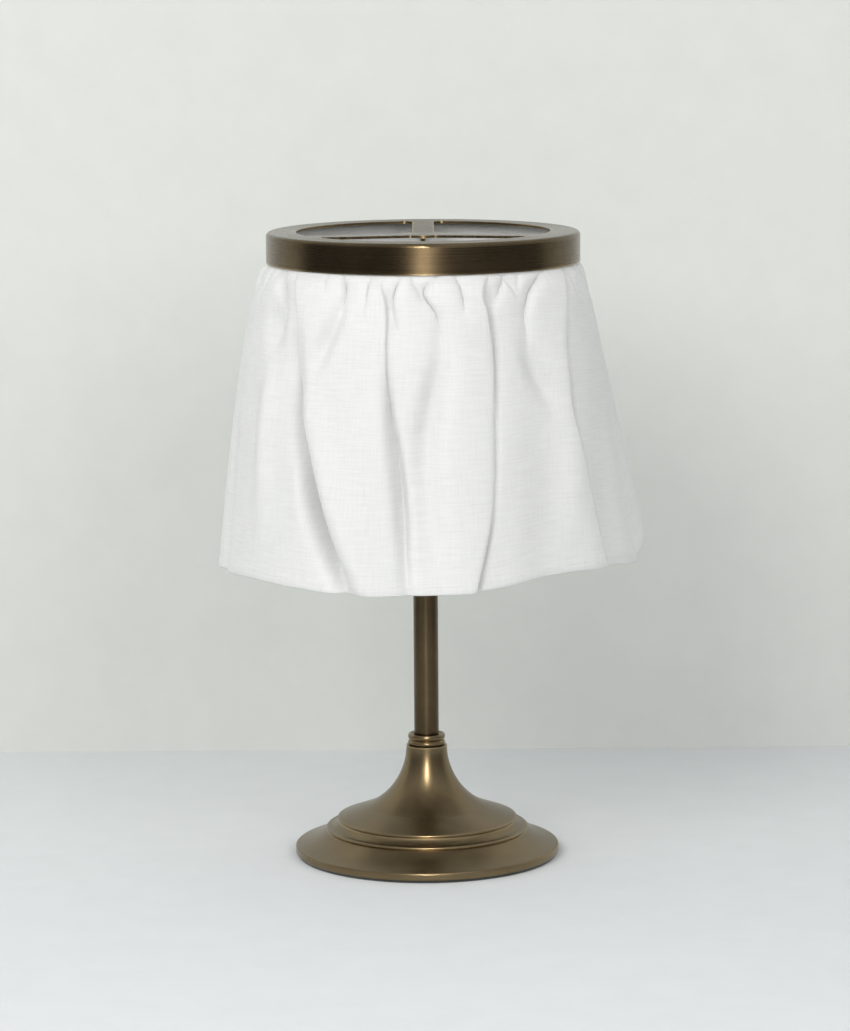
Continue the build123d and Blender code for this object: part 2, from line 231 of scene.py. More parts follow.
# Small waves of the whole cloth: their numbers round it, the height of a single one in millimetres, and how
# far and how often they sway on their way down.
WAVES = (5, 9, 14, 23)
WAVE_HEIGHT = 2.2
WAVE_SWAY, WAVE_BENDS = 2, 3

# The puff under the band grows within this share of the fall.
PUFF_FALL = 0.025

# Wrap of the cloth's middle over the hoop, from the hoop's own faces and edges, in millimetres.
WRAP_INSIDE, WRAP_OUTSIDE, WRAP_START, WRAP_TOP = 1.7, 0.5, 1.3, 0.45

# Hem: gap between its two layers and bulge of its outer one in millimetres, and how sharply it turns.
HEM_GAP, HEM_BULGE, HEM_SHARPNESS = 0.7, 0.3, 8

# Spread of the plain grid over the cut cloth: crowding towards the front, rows as pairs of a share of the
# grid and a place down the cloth in millimetres, and half of the cloth that the hem's turn takes.
FRONT_CROWDING = 0.045
UPPER_ROWS = [(0, 0), (0.09, 13), (0.14, 26), (0.55, 75)]
HEM_FOLD_HALF = 0.5

# Points of the cloth's side edges that lie this close are sewn together, in metres.
SEAM_GAP = 1e-5

# Hem thread in metres: radius, rounding of its edges, and its height over the cloth.
THREAD_RADIUS, THREAD_ROUNDING, THREAD_RISE = 0.00016, 0.00006, 0.00005


def eased(place, stops):
    """Smooth value at each place, through stops given as pairs of place and value."""
    places, values = np.array(stops, float).T
    slopes = np.gradient(values, places)
    low = np.clip(np.searchsorted(places, place, side="right") - 1, 0, len(places) - 2)
    span = places[low + 1] - places[low]
    f = np.clip((place - places[low]) / span, 0, 1)
    start = values[low] * (1 + 2 * f) * (1 - f) ** 2 + slopes[low] * span * f * (1 - f) ** 2
    end = values[low + 1] * f**2 * (3 - 2 * f) + slopes[low + 1] * span * f**2 * (f - 1)
    return start + end


def turned(angle, centre):
    """Angle from a centre line, between -180 and 180 degrees."""
    return (angle - centre + 180) % 360 - 180


def lap(offset, edge, reach):
    """Step of a lapped fold: a low lip on the left and a deeper, narrower hollow on the right."""
    lip = np.exp(-np.abs(offset) / (LIP_REACH * reach))
    hollow = HOLLOW_DEPTH * np.exp(-np.abs(offset) / (HOLLOW_REACH * reach))
    return -0.5 * np.tanh(offset / edge) * np.where(offset < 0, lip, hollow)


def swell(offset, reach):
    """Round swell of height 1."""
    return np.exp(-((offset / reach) ** 2))


def drawn(offset, wide, share):
    """Shift towards a crease: a share near 1 closes it to a line, and more folds one lip over the other."""
    return -share * offset * swell(offset, wide)


def pinch(offset, wide, side):
    """Groove of a gather, deeper on the side that lies behind."""
    groove = np.exp(-np.abs(offset) / wide)
    fade = np.exp(-np.abs(offset) / (STEP_REACH * wide))
    return groove + STEP_DEPTH * side * np.tanh(offset / wide) * fade


def rear_gathers(rng):
    """Gathers of the rear half, spaced by chance."""
    for spot in np.linspace(*REAR_SPAN, REAR_GATHERS):
        start, lean = spot + rng.uniform(-REAR_STRAY, REAR_STRAY), rng.uniform(-REAR_LEAN, REAR_LEAN)
        path = [(0, start), (rng.uniform(*REAR_FALL), start + lean)]
        yield Gather(path, depth=rng.uniform(*REAR_DEPTH), side=rng.choice([-1, 1]))


def fall_shape(angle, share, puff):
    """Angle, radius and height of the hanging cloth at a flat angle and a share of its fall."""
    rng = np.random.default_rng(SEED)
    band = HOOP_RADIUS / MM + WRAP_OUTSIDE
    near_band = 1 - np.exp(-share / PUFF_FALL)
    reach = eased(angle, HEM_REACH)
    radius = band + puff * near_band + (reach - band - puff) * share ** eased(angle, FLARE)
    shift = np.zeros_like(angle)
    for fold in LAPPED_FOLDS:
        offset = turned(angle, eased(share, fold.path))
        edge = eased(share, fold.edge)
        radius += eased(share, fold.depth) * lap(offset, edge, fold.reach)
        shift += near_band * drawn(offset, FOLD_DRAW * edge, eased(share, fold.over))
    for soft in SWELLS:
        radius += eased(share, soft.depth) * swell(turned(angle, eased(share, soft.path)), soft.reach)
    for gather in FRONT_GATHERS + list(rear_gathers(rng)):
        fade = near_band * eased(share / gather.path[-1][0], GATHER_FADE)
        offset = turned(angle, eased(share, gather.path))
        wide = GATHER_WIDTH + GATHER_GROWTH * share
        radius -= GATHER_DEPTH * gather.depth * fade * pinch(offset, wide, gather.side)
        shift += fade * drawn(offset, GATHER_DRAW * wide, GATHER_CLOSING)
    for waves in WAVES:
        phase, drift = rng.uniform(0, 2 * math.pi, 2)
        size = WAVE_HEIGHT / waves * np.sqrt(share)
        sway = WAVE_SWAY * np.sin(WAVE_BENDS * share + drift)
        radius += size * np.cos(np.radians(angle) * waves + phase + sway)
    drop = BAND_LOW / MM - eased(angle, HEM_HEIGHT)
    return angle + shift, np.maximum(radius, band), BAND_LOW / MM - drop * share


def hung_cloth(across, down, cut_length, hem_turn, puff):
    """Place in millimetres of each point of the cut cloth: across from 0 to 1, down in millimetres.

    From its upper edge the cloth runs up inside the hoop, over it and down outside it to the band, then
    hangs to the hem, where its lower edge is turned up inside.
    """
    angle = across * 360 - 180
    inner, outer = HOOP_RADIUS / MM - WRAP_INSIDE, HOOP_RADIUS / MM + WRAP_OUTSIDE
    low, high = HOOP_LOW / MM + WRAP_START, HOOP_HIGH / MM + WRAP_TOP
    bend = (outer - inner) / 2
    lengths = np.cumsum([high - bend - low, math.pi * bend, high - bend - BAND_LOW / MM])
    hem = cut_length - hem_turn
    inside, over, outside = (down < length for length in lengths)
    turn = np.clip((down - lengths[0]) / bend, 0, math.pi)
    share = np.clip((np.minimum(down, 2 * hem - down) - lengths[2]) / (hem - lengths[2]), 0, 1)
    angle, radius, height = fall_shape(angle, share, puff)
    back = np.clip((down - hem) / hem_turn, 0, 1)
    radius -= HEM_GAP * np.sin(np.minimum(back * HEM_SHARPNESS, 1) * math.pi / 2)
    front = (hem - down) / hem_turn
    radius += HEM_BULGE * np.where((front > 0) & (front < 1), np.sin(math.pi * np.clip(front, 0, 1)), 0)
    radius = np.where(outside, outer, radius)
    height = np.where(outside, high - bend - (down - lengths[1]), height)
    radius = np.where(over, (inner + outer) / 2 - bend * np.cos(turn), radius)
    height = np.where(over, high - bend + bend * np.sin(turn), height)
    radius = np.where(inside, inner, radius)
    height = np.where(inside, low + down, height)
    angle = np.radians(angle)
    return np.stack([radius * np.sin(angle), -radius * np.cos(angle), height], axis=-1)


def spread(x, y, cut_length, hem_turn):
    """Place on the cut cloth of a plain grid's points, closer where the cloth is creased and hemmed."""
    across = (1 + x) / 2 - FRONT_CROWDING * np.sin(math.pi * x)
    hem = cut_length - hem_turn
    hem_rows = [(0.9, cut_length - 2 * hem_turn), (0.93, hem - HEM_FOLD_HALF), (0.97, hem + HEM_FOLD_HALF)]
    down = np.interp((1 - y) / 2, *np.transpose(UPPER_ROWS + hem_rows + [(1, cut_length)]))
    return across, down


def cut_sizes(shade):
    """Cut length, hem turn and puff of the shade's settings, in millimetres."""
    return shade.cut_length / MM, shade.hem_turn / MM, shade.puff / MM


class Surface:
    """A material under construction: its node tree, its shader and short calls to add to it."""

    def __init__(self, name):
        self.material = bpy.data.materials.new(name)
        self.material.use_nodes = True
        self.tree = self.material.node_tree
        self.shader = self.tree.nodes["Principled BSDF"]

    def node(self, kind, settings=None, **inputs):
        made = self.tree.nodes.new("ShaderNode" + kind)
        for key, value in (settings or {}).items():
            setattr(made, key, value)
        for key, value in inputs.items():
            self.feed(value, made.inputs[int(key[1:]) if key[1:].isdigit() else key.replace("_", " ")])
        return made

    def feed(self, value, socket):
        if isinstance(value, bpy.types.NodeSocket):
            self.tree.links.new(value, socket)
        else:
            socket.default_value = value

    def shade(self, **inputs):
        for key, value in inputs.items():
            self.feed(value, self.shader.inputs[key.replace("_", " ")])

    def math(self, operation, a, b=0.0):
        return self.node("Math", {"operation": operation}, i0=a, i1=b).outputs[0]

    def stretched(self, vector, scale):
        return self.node("Mapping", Vector=vector, Scale=scale).outputs["Vector"]

    def spot(self):
        return self.node("TexCoord").outputs["Object"]

    def place(self, scale):
        """Object coordinates stretched by a scale for each axis."""
        return self.stretched(self.spot(), scale)

    def cut_place(self, width, length):
        """Place on the cut cloth in metres, from the piece's own map."""
        return self.stretched(self.node("UVMap", {"uv_map": "UVMap"}).outputs["UV"], (width, length, 1))

    def turned_place(self, along, across):
        """Coordinates that run slowly round the axis and fast along a turned profile."""
        parts = self.node("SeparateXYZ", Vector=self.spot()).outputs
        squares = [self.math("MULTIPLY", parts[axis], parts[axis]) for axis in (0, 1)]
        radius = self.math("SQRT", self.math("ADD", *squares))
        profile = self.math("SUBTRACT", radius, parts[2])
        return self.node(
            "CombineXYZ",
            X=self.math("MULTIPLY", parts[0], along),
            Y=self.math("MULTIPLY", parts[1], along),
            Z=self.math("MULTIPLY", profile, across),
        ).outputs[0]

    def noise(self, vector, scale=1.0, detail=3.0, rough=0.5):
        made = self.node("TexNoise", Vector=vector, Scale=scale, Detail=detail, Roughness=rough)
        return made.outputs["Fac"]

    def ramp(self, value, *stops):
        """Colour ramp through stops, pairs of a place and a colour or a grey."""
        made = self.node("ValToRGB", Fac=value)
        marks = made.color_ramp.elements
        while len(marks) < len(stops):
            marks.new(0.5)
        for mark, (spot, colour) in zip(marks, stops):
            mark.position = spot
            mark.color = (*colour, 1) if hasattr(colour, "__len__") else (colour, colour, colour, 1)
        return made.outputs["Color"]

    def range(self, value, low, high):
        return self.node("MapRange", Value=value, To_Min=low, To_Max=high).outputs[0]

    def mix(self, share, a, b, blend="MIX"):
        made = self.node("Mix", {"data_type": "RGBA", "blend_type": blend})
        for socket, value in zip((0, 6, 7), (share, a, b)):
            self.feed(value, made.inputs[socket])
        return made.outputs[2]

    def blend(self, share, other):
        """Shows a share of another shader in place of the main one."""
        mixed = self.node("MixShader", i0=share)
        self.feed(self.shader.outputs[0], mixed.inputs[1])
        self.feed(other.outputs[0], mixed.inputs[2])
        self.feed(mixed.outputs[0], self.tree.nodes["Material Output"].inputs["Surface"])

    def bump(self, height, strength, distance):
        made = self.node("Bump", Height=height, Strength=strength, Distance=distance)
        self.shade(Normal=made.outputs[0])


def rgba(colour):
    return (*colour[:3], 1.0)


# Marks of each way to work the brass: scales of its lines, two for turned work and three for straight work,
# how deep they bite, how far the patina is worn all over, and how dull it is.
Tooling = namedtuple("Tooling", "lines bite worn dull")
TOOLING = {
    "spun": Tooling((10, 5200), 0.2, 0.2, 0.04),
    "brushed": Tooling((14, 2600), 0.6, 0, 0),
    "drawn": Tooling((1500, 1500, 9), 0.4, 0, 0.04),
    "plate": Tooling((900, 900, 30), 0.4, 0, 0),
}
BRASS_ROUGH = (0.16, 0.3)
RUBBED_WIDTH = 0.002
LINE_DEPTH = 0.00005


def brass_surface(name, finish, kind):
    """Aged brass: brown patina, rubbed bright along its edges, with fine lines left by the tool."""
    made = Surface(name)
    tool = TOOLING[kind]
    lines = made.turned_place(*tool.lines) if len(tool.lines) == 2 else made.place(tool.lines)
    clouds = made.noise(made.place((22, 22, 22)), detail=5, rough=0.6)
    streaks = made.noise(lines, detail=2)
    patina = made.ramp(clouds, (0.3, finish.brass_dark), (0.75, finish.brass_light))
    tone = made.ramp(streaks, (0.3, 1 - 0.25 * tool.bite), (0.7, 1.0))
    flat = made.node("NewGeometry").outputs["Normal"]
    soft = made.node("Bevel", {"samples": 6}, Radius=RUBBED_WIDTH).outputs["Normal"]
    bent = made.node("VectorMath", {"operation": "DOT_PRODUCT"}, i0=flat, i1=soft).outputs["Value"]
    rubbed = made.ramp(bent, (0.8, finish.rubbed_share), (0.985, 0.0))
    aged = made.mix(1.0, made.mix(tool.worn, patina, rgba(finish.brass_edge)), tone, "MULTIPLY")
    uneven = made.math("ADD", streaks, made.math("MULTIPLY", clouds, 0.6))
    made.shade(
        Base_Color=made.mix(rubbed, aged, rgba(finish.brass_edge)),
        Metallic=1.0,
        Roughness=made.range(uneven, *(rough + tool.dull for rough in BRASS_ROUGH)),
        Anisotropic=tool.bite,
        Anisotropic_Rotation=0.25,
        Tangent=made.node("Tangent", {"direction_type": "RADIAL", "axis": "Z"}).outputs[0],
    )
    made.bump(streaks, 0.2 * tool.bite, LINE_DEPTH)
    return made.material


def steel_surface(finish):
    """Zinc plated steel with a faint spangle."""
    made = Surface("zinc_steel")
    spangle = made.noise(made.place((220, 220, 220)), detail=4)
    made.shade(
        Base_Color=made.ramp(spangle, (0.3, [c * 0.82 for c in finish.steel]), (0.7, finish.steel)),
        Metallic=1.0,
        Roughness=made.range(spangle, 0.28, 0.5),
    )
    made.bump(spangle, 0.1, 0.00005)
    return made.material


RUST = (0.09, 0.045, 0.025, 1)


def iron_surface(finish):
    """Black cast iron with the grain of the sand mould."""
    made = Surface("cast_iron")
    grain = made.noise(made.place((900, 900, 900)), detail=6, rough=0.7)
    rust = made.ramp(made.noise(made.place((60, 60, 60)), detail=4), (0.55, 0.0), (0.8, 0.5))
    made.shade(
        Base_Color=made.mix(rust, rgba(finish.iron), RUST),
        Metallic=0.6,
        Roughness=made.range(grain, 0.55, 0.85),
    )
    made.bump(grain, 0.5, 0.0003)
    return made.material


def felt_surface(finish):
    """Pressed felt: short tangled hair with no weave."""
    made = Surface("pressed_felt")
    hair = made.noise(made.place((2600, 2600, 900)), detail=8, rough=0.75)
    clumps = made.noise(made.place((180, 180, 180)), detail=3)
    pale = [min(1.0, c * 1.8) for c in finish.felt]
    hairy = made.ramp(hair, (0.3, finish.felt), (0.75, pale))
    clumped = made.ramp(clumps, (0.3, 0.02), (0.7, 0.05))
    made.shade(
        Base_Color=made.mix(0.5, hairy, clumped),
        Roughness=made.range(hair, 0.88, 1.0),
        Sheen_Weight=0.4,
    )
    made.bump(hair, 0.7, 0.0004)
    return made.material


COTTON_SHADOW = (0.8, 0.81, 0.78, 1.0)
SHINES_THROUGH = 0.2


def cotton_surface(finish, shade):
    """White cotton in plain weave, with slubs along its weft."""
    made = Surface("white_cotton")
    spot = made.cut_place(shade.cut_width, shade.cut_length)
    weft = made.noise(made.stretched(spot, (60, 1100, 1)), detail=4, rough=0.6)
    warp = made.noise(made.stretched(spot, (1100, 60, 1)), detail=4, rough=0.6)
    slub = made.noise(made.stretched(spot, (22, 600, 1)), detail=2)
    cloudy = made.noise(made.stretched(spot, (30, 30, 1)), detail=3)
    thick = made.ramp(slub, (0.56, 0.0), (0.7, 1.0))
    height = made.math("ADD", made.math("ADD", weft, warp), made.math("MULTIPLY", thick, 0.5))
    weft_tone = made.ramp(weft, (0.3, 0.93), (0.6, 1.0))
    warp_tone = made.ramp(warp, (0.3, 0.95), (0.6, 1.0))
    tone = made.mix(1.0, made.mix(1.0, weft_tone, warp_tone, "MULTIPLY"), rgba(finish.cotton), "MULTIPLY")
    tone = made.mix(made.ramp(cloudy, (0.3, 0.2), (0.7, 0.0)), tone, COTTON_SHADOW)
    made.shade(
        Base_Color=tone,
        Roughness=made.range(weft, 0.82, 0.96),
        Sheen_Weight=0.15,
        Specular_IOR_Level=0.2,
    )
    made.bump(height, 0.4, 0.0002)
    inside = made.node("NewGeometry").outputs["Backfacing"]
    made.blend(made.math("MAXIMUM", inside, SHINES_THROUGH), made.node("BsdfTranslucent", Color=tone))
    return made.material


def thread_surface(finish):
    """Twisted sewing thread of the hem."""
    made = Surface("hem_thread")
    twist = made.noise(made.place((3000, 3000, 3000)), detail=2)
    tone = made.ramp(twist, (0.3, [c * 0.9 for c in finish.cotton]), (0.7, finish.cotton))
    made.shade(Base_Color=tone, Roughness=0.8)
    made.bump(twist, 0.3, 0.0001)
    return made.material


def wax_surface(finish):
    """Ivory wax: soft light inside and a dull bloom outside."""
    made = Surface("ivory_wax")
    bloom = made.noise(made.place((120, 120, 40)), detail=4)
    made.shade(
        Base_Color=made.ramp(bloom, (0.3, [c * 0.93 for c in finish.wax]), (0.7, finish.wax)),
        Roughness=made.range(bloom, 0.32, 0.5),
        Subsurface_Weight=0.3,
        Subsurface_Radius=(0.006, 0.004, 0.002),
        Subsurface_Scale=1.0,
    )
    made.bump(bloom, 0.15, 0.0004)
    return made.material


BURNT = (0.02, 0.018, 0.016, 1)
BURNT_FROM, BURNT_TO = 0.005, 0.001


def wick_surface(finish):
    """Braided cotton wick, darker towards its tip."""
    made = Surface("braided_wick")
    height = made.node("SeparateXYZ", Vector=made.spot()).outputs[2]
    diagonal = {"bands_direction": "DIAGONAL"}
    braid = made.node("TexWave", diagonal, Vector=made.place((1, 1, 1)), Scale=900.0).outputs["Fac"]
    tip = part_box("wick")[1].z
    char = made.node("MapRange", Value=height, From_Min=tip - BURNT_FROM, From_Max=tip - BURNT_TO)
    pale = made.ramp(braid, (0.2, [c * 0.8 for c in finish.wick]), (0.8, finish.wick))
    made.shade(Base_Color=made.mix(char.outputs[0], pale, BURNT), Roughness=0.9)
    made.bump(braid, 0.5, 0.0002)
    return made.material


def length_setting(name, description, default, low, high):
    return bpy.props.FloatProperty(
        name=name, description=description, default=default, min=low, max=high, unit="LENGTH"
    )


def angle_setting(name, description, degrees):
    return bpy.props.FloatProperty(
        name=name, description=description, default=math.radians(degrees), unit="ROTATION"
    )


def power_setting(name, description, default):
    return bpy.props.FloatProperty(name=name, description=description, default=default, unit="POWER")


def colour_setting(name, description, default):
    return bpy.props.FloatVectorProperty(
        name=name, description=description, default=default, min=0, max=1, size=3, subtype="COLOR"
    )


def bright_setting(name, description, default, high):
    return bpy.props.FloatProperty(name=name, description=description, default=default, min=0, max=high)


def count_setting(name, description, default, low, high):
    return bpy.props.IntProperty(name=name, description=description, default=default, min=low, max=high)


class ShadeSettings(bpy.types.PropertyGroup):
    cut_width: length_setting("Cut width", "Width of the cloth before it is gathered", 0.69, 0.5, 1.2)
    cut_length: length_setting("Cut length", "Length of the cloth before it is hemmed", 0.19, 0.1, 0.4)
    thickness: length_setting("Thickness", "Thickness of the cloth", 0.0005, 0.0002, 0.002)
    hem_turn: length_setting("Hem turn", "Height of the turned hem", 0.004, 0.002, 0.02)
    puff: length_setting("Puff", "How far the gathers swell out right under the band", 0.004, 0, 0.01)
    columns: count_setting("Columns", "Faces round the cloth", 600, 60, 800)
    rows: count_setting("Rows", "Faces down the cloth", 80, 30, 300)
    stitch: length_setting("Stitch", "Length of one hem stitch", 0.0021, 0.001, 0.01)
    stitch_step: length_setting("Stitch step", "From one hem stitch to the next", 0.003, 0.0015, 0.02)


class FinishSettings(bpy.types.PropertyGroup):
    brass_dark: colour_setting("Brass patina", "Brass where the patina is thick", (0.085, 0.061, 0.034))
    brass_light: colour_setting("Thin patina", "Brass where the patina is thin", (0.17, 0.125, 0.073))
    brass_edge: colour_setting("Rubbed brass", "Brass where the patina is rubbed away", (0.6, 0.46, 0.26))
    rubbed_share: bpy.props.FloatProperty(
        name="Rubbing", description="How far the edges are rubbed bright", default=0.7, min=0, max=1,
        subtype="FACTOR",
    )
    cotton: colour_setting("Cotton", "Cloth of the shade", (0.8, 0.8, 0.79))
    wax: colour_setting("Wax", "Candle", (0.86, 0.81, 0.7))
    wick: colour_setting("Wick", "Wick below its burnt tip", (0.62, 0.58, 0.5))
    steel: colour_setting("Steel", "Plated fasteners and hoop", (0.6, 0.6, 0.61))
    iron: colour_setting("Iron", "Cast weight in the foot", (0.045, 0.045, 0.048))
    felt: colour_setting("Felt", "Felt under the foot", (0.03, 0.038, 0.032))


class StageSettings(bpy.types.PropertyGroup):
    wall_distance: length_setting("Wall distance", "From the lamp's axis to the wall", 0.25, 0.15, 3)
    floor_front: length_setting("Floor front", "From the lamp's axis to the floor's edge", 0.45, 0.3, 4)
    floor_width: length_setting("Floor width", "Width of the floor", 4, 1, 8)
    wall: colour_setting("Wall", "Painted wall", (0.62, 0.634, 0.602))
    floor: colour_setting("Floor", "Pale floor", (0.67, 0.69, 0.7))
    camera_distance: length_setting("Camera distance", "From the lamp's axis, level", 1.9634, 0.5, 6)
    camera_height: length_setting("Camera height", "Above the table", 0.4774, 0, 3)
    camera_pitch: angle_setting("Camera pitch", "How far the camera looks down", 8.749)
    camera_roll: angle_setting("Camera roll", "How far the camera leans to its right", 0.4)
    lens: bpy.props.FloatProperty(
        name="Lens", description="Focal length for a 36 mm frame, in millimetres", default=136.49
    )
    key_power: power_setting("Key light", "Power of the large soft light", 18.5)
    fill_power: power_setting("Fill light", "Power of the fill on the right", 9)
    side_power: power_setting("Side light", "Power of the light on the left", 3)
    front_power: power_setting("Front light", "Power of the tall light that the brass mirrors", 32)
    panel_power: power_setting("Panel", "Power of the panel behind the camera", 2)
    sky: bright_setting("Room light", "Brightness of the room", 0.62, 2)
    mirrored_low: bright_setting("Mirrored room", "Brightness of the room's sides in the metal", 0.14, 2)
    mirrored_high: bright_setting("Mirrored ceiling", "Brightness of the ceiling in the metal", 0.8, 4)


def dress(nodes, material):
    """Gives CAD nodes their material."""
    for name in nodes:
        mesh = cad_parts[name].data
        mesh.materials.clear()
        mesh.materials.append(material)


def start_object(name):
    """Names the object that an operator just added."""
    made = bpy.context.object
    made.name = made.data.name = name
    return made


class LAMP_OT_brass(bpy.types.Operator):
    """Gives the turned, drawn and flat brass its aged finish"""

    bl_idname = "lamp.brass"
    bl_label = "Finish the Brass"

    def execute(self, context):
        finish = context.scene.lamp_finish
        turned_pieces = ["foot", "neck_collar", "carrier_hub", "drip_pan", "candle_cup"]
        dress(turned_pieces, brass_surface("spun_brass", finish, "spun"))
        dress(["cap"], brass_surface("brushed_brass", finish, "brushed"))
        dress(["stem"], brass_surface("drawn_brass", finish, "drawn"))
        arms = ["carrier_arm_1", "carrier_arm_2", "carrier_arm_3"]
        dress(arms, brass_surface("plate_brass", finish, "plate"))
        return {"FINISHED"}


class LAMP_OT_fittings(bpy.types.Operator):
    """Gives the hoop, the fasteners, the weight and the felt their finish"""

    bl_idname = "lamp.fittings"
    bl_label = "Finish the Fittings"

    def execute(self, context):
        finish = context.scene.lamp_finish
        dress(["foot_washer", "lock_washer", "foot_nut", "tie_rod", "shade_hoop"], steel_surface(finish))
        dress(["weight"], iron_surface(finish))
        dress(["felt_pad"], felt_surface(finish))
        return {"FINISHED"}


class LAMP_OT_candle(bpy.types.Operator):
    """Gives the candle its wax and the wick its braid"""

    bl_idname = "lamp.candle"
    bl_label = "Finish the Candle"

    def execute(self, context):
        finish = context.scene.lamp_finish
        dress(["candle"], wax_surface(finish))
        dress(["wick"], wick_surface(finish))
        return {"FINISHED"}


class LAMP_OT_skirt(bpy.types.Operator):
    """Cuts the cloth, gathers it over the hoop and hangs it"""

    bl_idname = "lamp.skirt"
    bl_label = "Hang the Skirt"

    def execute(self, context):
        shade = context.scene.lamp_shade
        bpy.ops.object.select_all(action="DESELECT")
        bpy.ops.mesh.primitive_grid_add(
            x_subdivisions=shade.columns, y_subdivisions=shade.rows, size=2, calc_uvs=True
        )
        cloth = start_object("skirt_cloth")
        mesh = cloth.data
        spots = np.empty(3 * len(mesh.vertices), np.float32)
        mesh.vertices.foreach_get("co", spots)
        spots = spots.reshape(-1, 3).astype(float)
        cut_length, hem_turn, puff = cut_sizes(shade)
        across, down = spread(spots[:, 0], spots[:, 1], cut_length, hem_turn)
        hung = hung_cloth(across, down, cut_length, hem_turn, puff)
        marks = np.empty(2 * len(mesh.loops), np.float32)
        corners = np.empty(len(mesh.loops), np.int32)
        mesh.loops.foreach_get("vertex_index", corners)
        marks[0::2], marks[1::2] = across[corners], 1 - down[corners] / cut_length
        mesh.uv_layers.active.data.foreach_set("uv", marks)
        mesh.vertices.foreach_set("co", (hung * MM).astype(np.float32).ravel())
        mesh.update()
        bpy.ops.object.mode_set(mode="EDIT")
        bpy.ops.mesh.select_all(action="SELECT")
        bpy.ops.mesh.remove_doubles(threshold=SEAM_GAP)
        bpy.ops.mesh.normals_make_consistent(inside=False)
        bpy.ops.object.mode_set(mode="OBJECT")
        bpy.ops.object.shade_smooth()
        wall = cloth.modifiers.new("Thickness", "SOLIDIFY")
        wall.thickness = shade.thickness
        wall.offset = 0
        bpy.ops.object.modifier_apply(modifier=wall.name)
        cloth.data.materials.append(cotton_surface(context.scene.lamp_finish, shade))
        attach(cloth, "shade")
        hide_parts("skirt")
        return {"FINISHED"}


class LAMP_OT_hem(bpy.types.Operator):
    """Sews the hem with a row of short stitches"""

    bl_idname = "lamp.hem"
    bl_label = "Sew the Hem"

    def execute(self, context):
        shade = context.scene.lamp_shade
        cut_length, hem_turn, puff = cut_sizes(shade)
        count = round(shade.cut_width / shade.stitch_step)
        half = shade.stitch / shade.cut_width / 2
        middles = (np.arange(count) + 0.5) / count
        rows = np.full(count, cut_length - 2 * hem_turn)
        ends = [
            hung_cloth(middles + side, rows, cut_length, hem_turn, puff) * MM for side in (-half, half)
        ]
        bpy.ops.object.select_all(action="DESELECT")
        bpy.ops.mesh.primitive_cylinder_add(vertices=6, radius=THREAD_RADIUS, depth=1)
        stitch = start_object("hem_stitch")
        bpy.ops.object.mode_set(mode="EDIT")
        bpy.ops.mesh.select_all(action="SELECT")
        bpy.ops.mesh.bevel(offset=THREAD_ROUNDING, segments=1)
        bpy.ops.object.mode_set(mode="OBJECT")
        rise = shade.thickness / 2 + THREAD_RISE
        copies = []
        for start, end in zip(*ends):
            way = Vector(end - start)
            middle = Vector((start + end) / 2)
            out = Vector((middle.x, middle.y, 0)).normalized()
            copy = bpy.data.objects.new("hem_stitch", stitch.data.copy())
            context.collection.objects.link(copy)
            turn = way.to_track_quat("Z", "Y").to_matrix().to_4x4()
            size = Matrix.Diagonal((1, 1, way.length, 1))
            copy.data.transform(Matrix.Translation(middle + out * rise) @ turn @ size)
            copies.append(copy)
        bpy.data.objects.remove(stitch)
        bpy.ops.object.select_all(action="DESELECT")
        for copy in copies:
            copy.select_set(True)
        context.view_layer.objects.active = copies[0]
        bpy.ops.object.join()
        sewn = start_object("hem_stitches")
        bpy.ops.object.shade_smooth()
        sewn.data.materials.append(thread_surface(context.scene.lamp_finish))
        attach(sewn, "shade")
        return {"FINISHED"}


# Lights: the setting of the power, and the place, aim, size and tint.
Light = namedtuple("Light", "power spot target size tint")
LIGHTS = {
    "key_light": Light("key_power", (-0.8, -1.5, 1.2), (0, 0, 0.2), (0.9, 0.9), (1, 0.99, 0.97)),
    "fill_light": Light("fill_power", (0.8, -1.4, 0.95), (0, 0, 0.2), (0.9, 0.9), (1, 0.99, 0.98)),
    "side_light": Light("side_power", (-1.3, -0.5, 0.7), (0, 0, 0.25), (0.7, 0.7), (1, 0.99, 0.98)),
    "front_light": Light("front_power", (0, -2.1, 1.1), (0, 0, 0.25), (0.15, 1.2), (1, 0.95, 0.85)),
    "camera_panel": Light("panel_power", (0.05, -2.6, 0.1), (0, 0, 0.25), (0.9, 0.7), (1, 0.97, 0.92)),
}
NOT_MIRRORED = ("key_light", "fill_light", "side_light")
ONLY_MIRRORED = "front_light"

# The room: its tint, and the heights of a direction between which the mirrored room grows bright.
ROOM_TINT = (0.96, 0.98, 1, 1)
MIRRORED_SIDE, MIRRORED_TOP = 0.1, 0.9
WALL_SIZE = 8
FRAME_WIDTH = 36
VIEW_DEPTH = 50


def stage_surface(name, colour, one_sided):
    """Matt paint; one-sided paint isn't seen from behind, so that it hides nothing in other views."""
    made = Surface(name)
    grain = made.noise(made.place((40, 40, 40)), detail=6, rough=0.6)
    pale = [min(1.0, c * 1.02) for c in colour]
    made.shade(Base_Color=made.ramp(grain, (0.3, [c * 0.985 for c in colour]), (0.7, pale)), Roughness=0.9)
    made.bump(grain, 0.2, 0.001)
    if one_sided:
        behind = made.node("NewGeometry").outputs["Backfacing"]
        seen = made.node("LightPath").outputs["Is Camera Ray"]
        made.blend(made.math("MULTIPLY", behind, seen), made.node("BsdfTransparent"))
    return made.material


def add_light(name, form, power):
    bpy.ops.object.light_add(type="AREA", location=form.spot)
    light = start_object(name)
    light.data.shape = "RECTANGLE"
    light.data.size, light.data.size_y = form.size
    light.data.energy = power
    light.data.color = form.tint
    light.rotation_euler = (Vector(form.target) - Vector(form.spot)).to_track_quat("-Z", "Y").to_euler()
    light.visible_glossy = name not in NOT_MIRRORED
    light.visible_diffuse = name != ONLY_MIRRORED


